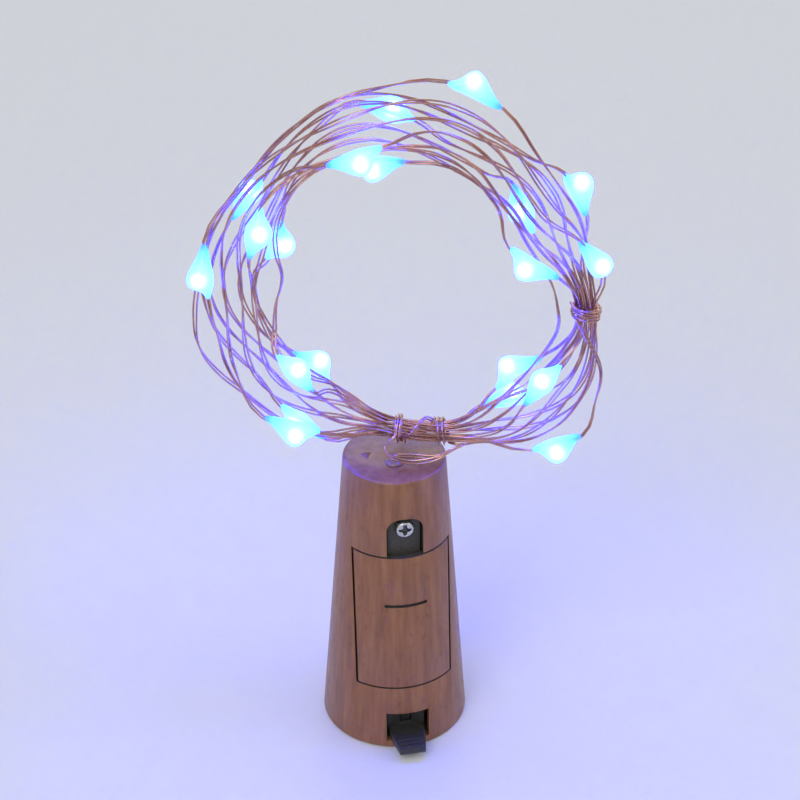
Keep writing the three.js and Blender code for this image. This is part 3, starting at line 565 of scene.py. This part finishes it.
# %% Enamelled copper
copper_finish, tree, shader = start_finish("enamelled_copper")
tone = spots(tree, (0.22, 0.22, 0.22), 3, 0.6)
lacquer = ramp(tree, tone, [
    (0.3, (0.36, 0.16, 0.13)),
    (0.55, (0.56, 0.28, 0.23)),
    (0.75, (0.7, 0.4, 0.33)),
])
tree.links.new(lacquer, shader.inputs["Base Color"])
tree.links.new(between(tree, spots(tree, (1.3, 1.3, 1.3), 2, 0.5), 0.16, 0.3), shader.inputs["Roughness"])
raised(tree, spots(tree, (3, 3, 3), 2, 0.5), shader, 0.012, 0.2)
shader.inputs["Metallic"].default_value = 1
shader.inputs["Coat Weight"].default_value = 1
shader.inputs["Coat Roughness"].default_value = 0.05
print("finish:", copper_finish.name)

# %% [markdown]
# ## From a bmesh to a piece
# Every finished piece is one mesh object at the origin that rides on a body of the part. Each step could
# do this for itself, but one helper keeps it the same for all: it takes a bmesh, makes the object, gives
# it its finishes and hides the nodes of the part that it stands for.

# %% The string as a piece
def finished_piece(name, work, finishes, body, nodes):
    mesh = bpy.data.meshes.new(name)
    work.to_mesh(mesh)
    work.free()
    for finish in finishes:
        mesh.materials.append(finish)
    piece = bpy.data.objects.new(name, mesh)
    bpy.context.scene.collection.objects.link(piece)
    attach(piece, body)
    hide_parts(*nodes)
    return piece


string = finished_piece("string_wires", string_work, [copper_finish], "case",
                        ["string_lead", "string_coil"])
print("piece:", string.name)

# %% [markdown]
# ## A resin drop
# Each light is a chip on the wires under a drop of clear resin. Before it set, the resin ran out along
# the wires at both ends, so the drop is a rounded bulge on one side with two drawn-out skirts. A stretched
# ball would have no skirts. So a profile is spun round the wire, and then its middle is pushed to one
# side and a little along the wire.

# %% One drop
drop_half = 4.4 * millimetre
drop_tip = 0.6 * millimetre
drop_bulge = 1.95 * millimetre
drop_offset = 1.45 * millimetre
drop_steps = 24
drop_sides = 24
skirt_power = 6
swell_power = 3
seam_weld = 0.001 * millimetre


def swell(station):
    return (1 - station * station) ** swell_power


def drop_shape(fullness, lean):
    work = bmesh.new()
    profile = []
    for step in range(drop_steps + 1):
        station = -math.cos(math.pi * step / drop_steps)
        skirt = drop_tip * math.sqrt(max(0, 1 - station ** skirt_power))
        radius = skirt + (drop_bulge * fullness - drop_tip) * swell(station)
        profile.append(work.verts.new((drop_half * station, radius, 0)))
    ribs = [work.edges.new(pair) for pair in zip(profile, profile[1:])]
    bmesh.ops.spin(work, geom=profile + ribs, cent=(0, 0, 0), axis=(1, 0, 0), angle=2 * math.pi,
                   steps=drop_sides, use_merge=True)
    bmesh.ops.remove_doubles(work, verts=work.verts, dist=seam_weld)
    bmesh.ops.recalc_face_normals(work, faces=work.faces)
    for vertex in work.verts:
        middle = swell(min(1, abs(vertex.co.x) / drop_half))
        vertex.co.y += drop_offset * middle
        vertex.co.x += lean * drop_half * middle
    for face in work.faces:
        face.smooth = True
    return work


print("drop:", round(2 * drop_half / millimetre, 1), "mm long")

# %% [markdown]
# ## The lit resin
# The chip lies in the middle of the bulge and shines white through the resin, which glows pale blue round
# it and deeper blue out on the skirts. A lamp in each drop would not go with the part, so the resin gives
# off the light: each point of a drop stores how far it is from its chip, and a colour ramp turns that
# distance into a glow. The chip's glare is a small ball inside, and three thin shells round it give off a
# little light each, so its edge fades. All are seen through the resin, so the glare looks right from
# every side.

# %% The lit resin
resin_finish, tree, shader = start_finish("lit_resin")
distance = tree.nodes.new("ShaderNodeAttribute")
distance.attribute_name = "from_chip"
glow = ramp(tree, distance.outputs["Fac"], [
    (0.36, (0.0078, 0.0255, 1)),
    (0.5, (0.0062, 0.0225, 0.92)),
    (0.75, (0.0036, 0.0155, 0.65)),
    (1, (0.0014, 0.007, 0.35)),
])
tree.links.new(glow, shader.inputs["Emission Color"])
shader.inputs["Emission Strength"].default_value = 55
cloud = spots(tree, (0.5, 0.5, 0.5), 2, 0.5)
tint = ramp(tree, cloud, [(0.35, (0.07, 0.28, 0.62)), (0.7, (0.11, 0.38, 0.78))])
tree.links.new(tint, shader.inputs["Base Color"])
tree.links.new(between(tree, cloud, 0.7, 0.9), shader.inputs["Roughness"])
raised(tree, cloud, shader, 0.1, 0.3)
shader.inputs["Transmission Weight"].default_value = 0.45
shader.inputs["IOR"].default_value = 1.25
shader.inputs["Coat Weight"].default_value = 0.7
shader.inputs["Coat Roughness"].default_value = 0.05
print("resin: strength", shader.inputs["Emission Strength"].default_value)

# %% The chip's glare
glare_radius = 0.5
haze_radii = (0.7, 0.95, 1.2)


def glare_light(name, strength, cover):
    finish, tree, shader = start_finish(name)
    heat = spots(tree, (0.8, 0.8, 0.8), 1, 0.5)
    light = ramp(tree, heat, [(0.3, (0.9, 0.95, 1)), (0.7, (1, 1, 1))])
    tree.links.new(light, shader.inputs["Emission Color"])
    shader.inputs["Emission Strength"].default_value = strength
    shader.inputs["Alpha"].default_value = cover
    return finish


glare_finish = glare_light("chip_glare", 30, 1)
haze_finish = glare_light("chip_haze", 4, 0.25)
print("glare:", 2 * glare_radius, "mm across in a haze of", 2 * haze_radii[-1], "mm")

# %% All the drops
drop_lean = 0.2
fullness_sway = 0.05
fullness_step = 2.3
glow_reach = 5 * millimetre
glare_offset = 0.35 * millimetre
ball_rounds = 3
drop_finishes = [resin_finish, glare_finish, haze_finish]


def add_glare(work, chip):
    at_glare = Matrix.Translation(chip + Vector((0, glare_offset, 0))) @ Matrix.Scale(millimetre, 4)
    balls = [(glare_radius, glare_finish)] + [(radius, haze_finish) for radius in haze_radii]
    for radius, finish in balls:
        ball = bmesh.ops.create_icosphere(work, subdivisions=ball_rounds, radius=radius, matrix=at_glare)
        for face in {face for vertex in ball["verts"] for face in vertex.link_faces}:
            face.material_index = drop_finishes.index(finish)
            face.smooth = True


def place_drop(number, middle, along, outwards):
    lean = drop_lean if number % 2 else -drop_lean
    work = drop_shape(1 + fullness_sway * math.sin(fullness_step * number), lean)
    chip = Vector((lean * drop_half, drop_offset, 0))
    layer = work.verts.layers.float.new("from_chip")
    for vertex in work.verts:
        vertex[layer] = (vertex.co - chip).length / glow_reach
    add_glare(work, chip)
    turned = Matrix((along, outwards, along.cross(outwards))).transposed().to_4x4()
    bmesh.ops.transform(work, matrix=Matrix.Translation(middle * millimetre) @ turned, verts=work.verts)
    name = f"resin_drop_{number:02d}"
    return finished_piece(name, work, drop_finishes, "case", [f"led_drop_{number:02d}"])


resin_drops = [place_drop(i + 1, *place) for i, place in enumerate(drop_places)]
print("drops:", len(resin_drops))

# %% [markdown]
# ## Where the string leaves the seal
# The real string is a free cord that can be unwound: it has a real length, and its far end is a bare cut end
# in the last tie. Here only the place where it leaves the seal is worked out.

# %% Where the string leaves the seal
seal_exit_height = 50.45
seal_exit = ring_place(0, lead_forwards, seal_exit_height) * millimetre
print("cord: leaves the seal at", [round(value / millimetre, 1) for value in seal_exit], "mm")

# %% [markdown]
# ## Moulded pieces from the part
# The casing, the cover and the other rigid pieces could be modelled again, but they already have their
# true shapes in the part. A moulding never has knife-sharp edges, though. So each one is copied, its loose
# triangles are merged, flat faces are joined again, and the edges get a small bevel that catches the light.

# %% A softened copy
weld_distance = 0.002 * millimetre
flat_angle = 0.5
sharp_angle = 32


def softened(node, bevel, sharper_than=sharp_angle):
    work = bmesh.new()
    work.from_mesh(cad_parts[node].data)
    bmesh.ops.remove_doubles(work, verts=work.verts, dist=weld_distance)
    bmesh.ops.dissolve_limit(work, angle_limit=math.radians(flat_angle), verts=work.verts, edges=work.edges)
    limit = math.radians(sharper_than)
    sharp = [edge for edge in work.edges if edge.is_manifold and edge.calc_face_angle() > limit]
    if bevel:
        bmesh.ops.bevel(work, geom=sharp, offset=bevel * millimetre, offset_type="OFFSET", affect="EDGES",
                        segments=2, profile=0.5, clamp_overlap=True, material=-1)
    for face in work.faces:
        face.smooth = True
    for edge in work.edges:
        if edge.is_manifold and edge.calc_face_angle() > limit:
            edge.smooth = False
    return work


print("casing:", len(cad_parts["casing"].data.polygons), "loose triangles before it is softened")

# %% [markdown]
# ## Printed cork
# The casing is satin brown plastic with a printed grain like cork or wood. One noise would give the same
# blots all over, so two are multiplied: long streaks run up the cone, and darker flecks lie across them.
# A very fine bump keeps the gloss broken.

# %% Printed cork
cork_finish, tree, shader = start_finish("printed_cork")
streaks = spots(tree, (0.9, 0.9, 0.07), 5, 0.6)
flecks = spots(tree, (0.7, 0.7, 0.4), 4, 0.65)
mix = tree.nodes.new("ShaderNodeMix")
mix.data_type = "RGBA"
mix.blend_type = "MULTIPLY"
mix.inputs["Factor"].default_value = 0.4
grain = ramp(tree, streaks, [
    (0.3, (0.185, 0.073, 0.036)),
    (0.5, (0.25, 0.1, 0.047)),
    (0.7, (0.305, 0.134, 0.066)),
])
fleck = ramp(tree, flecks, [(0.32, (0.45, 0.4, 0.38)), (0.42, (0.95, 0.95, 0.95)), (0.8, (1, 1, 1))])
# A Mix node has sockets of the same names for each kind of value. These are the ones for colours.
first_colour = mix.inputs[6]
second_colour = mix.inputs[7]
mixed_colour = mix.outputs[2]
tree.links.new(grain, first_colour)
tree.links.new(fleck, second_colour)
tree.links.new(mixed_colour, shader.inputs["Base Color"])
tree.links.new(between(tree, flecks, 0.42, 0.28), shader.inputs["Roughness"])
raised(tree, spots(tree, (2.5, 2.5, 1.2), 3, 0.6), shader, 0.02, 0.3)
print("finish:", cork_finish.name)

# %% [markdown]
# ## Plain finishes
# The other finishes differ only in their colours, their gloss and the size of their spots, so one
# function makes them all. Metals have a full metallic value and plastics have none. The bump's spots are
# finer than the spots of colour, as they are on a moulding or a plating.

# %% Plain finishes
finer_bump = 3


def plain_finish(name, dark, light, gloss, per_millimetre, metallic=0, height=0.02):
    finish, tree, shader = start_finish(name)
    tone = spots(tree, per_millimetre, 4, 0.6)
    tree.links.new(ramp(tree, tone, [(0.35, dark), (0.65, light)]), shader.inputs["Base Color"])
    tree.links.new(between(tree, tone, gloss[0], gloss[1]), shader.inputs["Roughness"])
    pits = spots(tree, [finer_bump * share for share in per_millimetre], 2, 0.5)
    raised(tree, pits, shader, height, 0.3)
    shader.inputs["Metallic"].default_value = metallic
    return finish


fine = (1.5, 1.5, 1.5)
soft = (0.6, 0.6, 0.6)
brushed = (0.8, 0.8, 3)
bare_finish = plain_finish("bare_plastic", (0.034, 0.031, 0.028), (0.055, 0.05, 0.045), (0.45, 0.6), fine)
black_finish = plain_finish("black_plastic", (0.02, 0.019, 0.018), (0.036, 0.034, 0.032), (0.35, 0.5), fine)
steel_finish = plain_finish("nickel_plate", (0.5, 0.5, 0.52), (0.66, 0.66, 0.68), (0.2, 0.34), brushed, 1)
bronze_finish = plain_finish("spring_bronze", (0.5, 0.32, 0.13), (0.64, 0.44, 0.2), (0.25, 0.4), brushed, 1)
board_finish = plain_finish("solder_mask", (0.012, 0.09, 0.03), (0.025, 0.15, 0.05), (0.3, 0.45), fine)
ceramic_finish = plain_finish("resistor_body", (0.014, 0.014, 0.017), (0.028, 0.028, 0.033),
                              (0.4, 0.6), fine)
red_finish = plain_finish("red_sleeve", (0.3, 0.012, 0.01), (0.45, 0.02, 0.016), (0.35, 0.5), soft)
sleeve_finish = plain_finish("black_sleeve", (0.008, 0.008, 0.008), (0.016, 0.016, 0.016), (0.35, 0.5), soft)
glue_finish = plain_finish("amber_glue", (0.2, 0.11, 0.06), (0.32, 0.19, 0.11), (0.12, 0.25), fine)
print("finishes:", len(bpy.data.materials))

# %% [markdown]
# ## The casing and the cover
# The print wraps round the edges and ends in the seams. Below that, in the recess, the window and the
# battery bay, the plastic is bare and dark grey. The faces could be listed by hand, but a rule is shorter:
# a face that lies deeper under the cone's skin than the print reaches gets the second finish.

# %% The casing and the cover
base_radius = 11.75
top_radius = 8.05
casing_height = 50
print_depth = 0.9
slit_height = 27.45
slit_half_length = 3.5
slit_half_height = 0.4
slit_print_depth = 0.25
moulding_bevel = 0.09


# How far a place lies under the cone's skin or its flat top, in millimetres.
def skin_depth(place):
    height = place.z / millimetre
    radius = base_radius + (top_radius - base_radius) * height / casing_height
    return min(radius - math.hypot(place.x, place.y) / millimetre, casing_height - height)


def in_thumb_slit(place):
    across = abs(place.x) / millimetre
    away = abs(place.z / millimetre - slit_height)
    return across < slit_half_length and away < slit_half_height and place.y < 0


def printed_outside(work):
    for face in work.faces:
        place = face.calc_center_median()
        reach = slit_print_depth if in_thumb_slit(place) else print_depth
        face.material_index = 1 if skin_depth(place) > reach else 0
    return work


for node, body in [("casing", "case"), ("battery_cover", "cover")]:
    work = printed_outside(softened(node, moulding_bevel))
    finishes = [cork_finish, bare_finish]
    piece = finished_piece(f"{node}_moulding", work, finishes, body, [node])
    print(piece.name, len(piece.data.polygons), "faces")

# %% [markdown]
# ## The cover screw
# One self-tapping screw with a domed head and a cross recess holds the cover's tongue. A boolean could cut
# the recess, but it would leave sharp edges. So the head is a round grid whose points are pushed down
# inside the cross, which rounds the edges of the recess as a punch does. The shank is made ring by ring,
# and each ring's points swell where the thread passes them.

# %% The head and its cross, in millimetres
head_radius = 1.5
head_height = 1.15
dome_fall = 0.3
rim_fall = 0.3
rim_start = 0.86
rim_width = 0.14
cross_depth = 0.62
wing_half_width = 0.33
wing_wall = 0.14
wing_reach = 1.06
wing_slope = 0.22
hub_radius = 0.68
hub_slope = 0.3


def wing_share(across, along):
    in_width = smooth_share((wing_half_width - abs(across)) / wing_wall)
    in_length = smooth_share((wing_reach - abs(along)) / wing_slope)
    return in_width * in_length


def cross_share(x, y):
    hub = smooth_share((hub_radius - math.hypot(x, y)) / hub_slope)
    return max(wing_share(x, y), wing_share(y, x), hub)


def head_height_at(x, y):
    away = math.hypot(x, y) / head_radius
    dome = head_height - dome_fall * away ** 3 - rim_fall * smooth_share((away - rim_start) / rim_width)
    return dome - cross_depth * cross_share(x, y)


print("screw head:", 2 * head_radius, "mm across")

# %% The thread, in millimetres
core_radius = 0.6
thread_radius = 0.79
thread_pitch = 0.85
ridge_share = 0.3
shank_length = 5
point_length = 1.1


def shank_radius_at(height, turn):
    taper = smooth_share((height + shank_length) / point_length)
    phase = (height / thread_pitch - turn) % 1
    ridge = max(0, 1 - abs(phase - 0.5) / ridge_share)
    return taper * (core_radius + (thread_radius - core_radius) * ridge)


print("thread:", 2 * thread_radius, "mm across")

# %% The rings of the screw
last_ring_depth = 4.98
head_side = 0.1
head_under_inset = 0.08
# Painted shade: screw faces higher than this, in millimetres, and this far into the cross get a darker steel
# finish, though the real recess is the same plated steel.
shade_above = 0.2
shade_share = 0.55


def ring_of(work, sides, radius_at, height_at):
    verts = []
    for side in range(sides):
        turn = side / sides
        radius = radius_at(turn)
        x = radius * math.cos(2 * math.pi * turn)
        y = radius * math.sin(2 * math.pi * turn)
        verts.append(work.verts.new((x, y, height_at(x, y))))
    return verts


def screw_rings(work, sides, grid, threads):
    rings = [[work.verts.new((0, 0, head_height_at(0, 0)))] * sides]
    for step in range(1, grid + 1):
        radius = head_radius * step / grid
        rings.append(ring_of(work, sides, lambda turn: radius, head_height_at))
    under_head = [(head_radius, head_side), (head_radius - head_under_inset, 0), (thread_radius, 0)]
    for radius, height in under_head:
        rings.append(ring_of(work, sides, lambda turn: radius, lambda x, y: height))
    for step in range(threads + 1):
        height = -last_ring_depth * step / threads
        rings.append(ring_of(work, sides, lambda turn: shank_radius_at(height, turn), lambda x, y: height))
    return rings


def screw_shape(sides=72, grid=30, threads=84):
    work = bmesh.new()
    rings = screw_rings(work, sides, grid, threads)
    for upper, lower in zip(rings, rings[1:]):
        for side in range(sides):
            after = (side + 1) % sides
            # The first ring is one point repeated, so its doubled corners drop out.
            corners = dict.fromkeys([upper[side], lower[side], lower[after], upper[after]])
            work.faces.new(list(corners))
    work.faces.new(rings[-1])
    bmesh.ops.recalc_face_normals(work, faces=work.faces)
    for face in work.faces:
        face.smooth = True
        middle = face.calc_center_median()
        # Faces down in the cross recess get the second finish, which is painted shade.
        painted_shade_in_recess = middle.z > shade_above and cross_share(middle.x, middle.y) > shade_share
        face.material_index = 1 if painted_shade_in_recess else 0
    return work


screw_work = screw_shape()
print("screw:", len(screw_work.faces), "faces")

# %% The screw in its seat
screw_low, screw_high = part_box("cover_screw")
screw_head = Vector((0, screw_low[1], (screw_low[2] + screw_high[2]) / 2))
lying = Matrix(((1, 0, 0), (0, 0, -1), (0, 1, 0))).to_4x4()
back_to_seat = Matrix.Translation((0, head_height * millimetre, 0))
placed = Matrix.Translation(screw_head) @ back_to_seat @ lying @ Matrix.Scale(millimetre, 4)
bmesh.ops.transform(screw_work, matrix=placed, verts=screw_work.verts)
# The second finish is painted shade: a darker steel for the cross recess, whose metal is really the same as
# the head's.
recess_shade_finish = plain_finish("screw_recess_painted_shade", (0.05, 0.05, 0.055), (0.16, 0.16, 0.17), (0.3, 0.5), fine, 1)
screw = finished_piece("cover_screw_head", screw_work, [steel_finish, recess_shade_finish], "screw",
                       ["cover_screw"])
print("piece:", screw.name)

# %% [markdown]
# ## The small pieces
# The rest are the thumb slider, the base cap, the glue that seals the wire hole, and the pieces inside,
# some of which show when the cover is off. Their shapes in the part are right, so each gets a softened
# copy and its own finish, and one list with a loop is enough.

# %% The small pieces
lead_sharp_angle = 60
# Each piece: its node, its bevel in millimetres, its finish, its body and its material slot.
small_pieces = [
    ("base_cap", 0.1, bare_finish, "case", "cork_plastic"),
    ("thumb_slider", 0.1, black_finish, "slider", "black_plastic"),
    ("switch_stem", 0.05, black_finish, "slider", "black_plastic"),
    ("switch_wiper", 0, bronze_finish, "slider", "bronze"),
    ("switch_frame", 0.05, steel_finish, "case", "steel"),
    ("switch_base", 0.05, black_finish, "case", "black_plastic"),
    ("negative_contact", 0.05, bronze_finish, "case", "bronze"),
    ("positive_contact", 0.05, bronze_finish, "case", "bronze"),
    ("circuit_board", 0.05, board_finish, "case", "board"),
    ("resistor", 0.05, ceramic_finish, "case", "ceramic"),
    ("battery_lead", 0, sleeve_finish, "case", "black_sleeve"),
    ("positive_lead", 0, red_finish, "case", "red_sleeve"),
    ("return_lead", 0, sleeve_finish, "case", "black_sleeve"),
    ("wire_seal", 0.08, glue_finish, "case", "glue"),
]
small_pieces += [(f"switch_pin_{i}", 0.05, bronze_finish, "case", "bronze") for i in (1, 2, 3)]

for node, bevel, finish, body, slot in small_pieces:
    sharper_than = lead_sharp_angle if node.endswith("lead") else sharp_angle
    finished_piece(f"{node}_finished", softened(node, bevel, sharper_than), [finish], body, [node])
print("small pieces:", len(small_pieces))

# %% [markdown]
# ## Cells and spring
# Under the cover lie three button cells on a conical spring. A cell is a drawn steel can with a smaller
# cap, and a dark ring of nylon seals the two. The ring could be a piece of its own, but only the step
# between can and cap shows it, so that step gets the ring's finish. The can's fine marks run round it.
# The spring is a curve by formula: it winds upwards while its radius shrinks.

# %% The button cells
rolled = (0.15, 0.15, 2)
can_finish = plain_finish("cell_can", (0.56, 0.56, 0.57), (0.66, 0.66, 0.67), (0.14, 0.24), rolled, 1, 0.003)
cell_count = 3
cell_bevel = 0.15
cap_share = 0.6
facing_down = -0.5


def sealed_cell(node):
    work = softened(node, cell_bevel)
    low, high = [Vector(corner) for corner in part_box(node)]
    middle = (low + high) / 2
    can_radius = (high.x - low.x) / 2
    for face in work.faces:
        place = face.calc_center_median() - middle
        outside_cap = math.hypot(place.x, place.y) > cap_share * can_radius
        on_ring = face.normal.z < facing_down and place.z < 0 and outside_cap
        face.material_index = 1 if on_ring else 0
    return work


for i in range(1, cell_count + 1):
    node = f"button_cell_{i}"
    finished_piece(f"{node}_sealed", sealed_cell(node), [can_finish, black_finish], "case", [node])
print("cells:", cell_count)

# %% The conical spring
spring_curls = 3
steps_per_curl = 32
spring_wire = 0.25
spring_roundness = 3
spring_foot_radius = 3.4
spring_tip_radius = 2.1
spring_low, spring_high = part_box("negative_spring")


def spring_point(share):
    radius = spring_foot_radius + (spring_tip_radius - spring_foot_radius) * share
    angle = 2 * math.pi * spring_curls * share
    low = spring_low[2] + spring_wire * millimetre
    high = spring_high[2] - spring_wire * millimetre
    place = Vector((radius * math.cos(angle), radius * math.sin(angle), 0)) * millimetre
    place.z = low + (high - low) * share
    return place


spring_steps = steps_per_curl * spring_curls
spring_line = [spring_point(step / spring_steps) for step in range(spring_steps + 1)]
spring_work = bevelled_wires([spring_line], spring_wire * millimetre, spring_roundness)
finished_piece("negative_spring_wound", spring_work, [steel_finish], "case", ["negative_spring"])
print("spring:", len(spring_line), "points")

# %% [markdown]
# ## Floor and light
# A pale floor and soft light from large lamps show the finishes plainly. Small lamps would give hard
# shadows and hot spots. The sky is pale as well, so that metal has something to reflect.

# %% The floor
floor_radius = 4
floor_sides = 96
floor_below = 0.1 * millimetre
floor_work = bmesh.new()
bmesh.ops.create_circle(floor_work, cap_ends=True, segments=floor_sides, radius=floor_radius)
floor_mesh = bpy.data.meshes.new("floor")
floor_work.to_mesh(floor_mesh)
floor_work.free()
floor_finish, tree, shader = start_finish("floor")
shader.inputs["Base Color"].default_value = (0.68, 0.69, 0.71, 1)
shader.inputs["Roughness"].default_value = 0.7
floor_mesh.materials.append(floor_finish)
floor = bpy.data.objects.new("floor", floor_mesh)
floor.location.z = -floor_below
bpy.context.scene.collection.objects.link(floor)
print("floor:", 2 * floor_radius, "m across")

# %% The lamps and the sky
lamp_aim = Vector((0, 0, 0.05))


def soft_lamp(name, place, size, power):
    lamp = bpy.data.lights.new(name, "AREA")
    lamp.shape = "DISK"
    lamp.size = size
    lamp.energy = power
    holder = bpy.data.objects.new(name, lamp)
    holder.location = place
    holder.rotation_euler = (lamp_aim - Vector(place)).to_track_quat("-Z", "Y").to_euler()
    bpy.context.scene.collection.objects.link(holder)


soft_lamp("key_lamp", (-0.5, -0.6, 0.9), 0.6, 3.6)
soft_lamp("fill_lamp", (0.8, -0.3, 0.6), 0.6, 1)
soft_lamp("back_lamp", (0.2, 0.9, 0.7), 0.5, 1.3)
world = bpy.data.worlds.new("studio")
world.use_nodes = True
bpy.context.scene.world = world
sky = world.node_tree.nodes["Background"]
sky.inputs["Color"].default_value = (0.8, 0.82, 0.85, 1)
sky.inputs["Strength"].default_value = 0.8
bpy.context.scene.view_settings.view_transform = "Standard"
print("lamps:", len(bpy.data.lights))
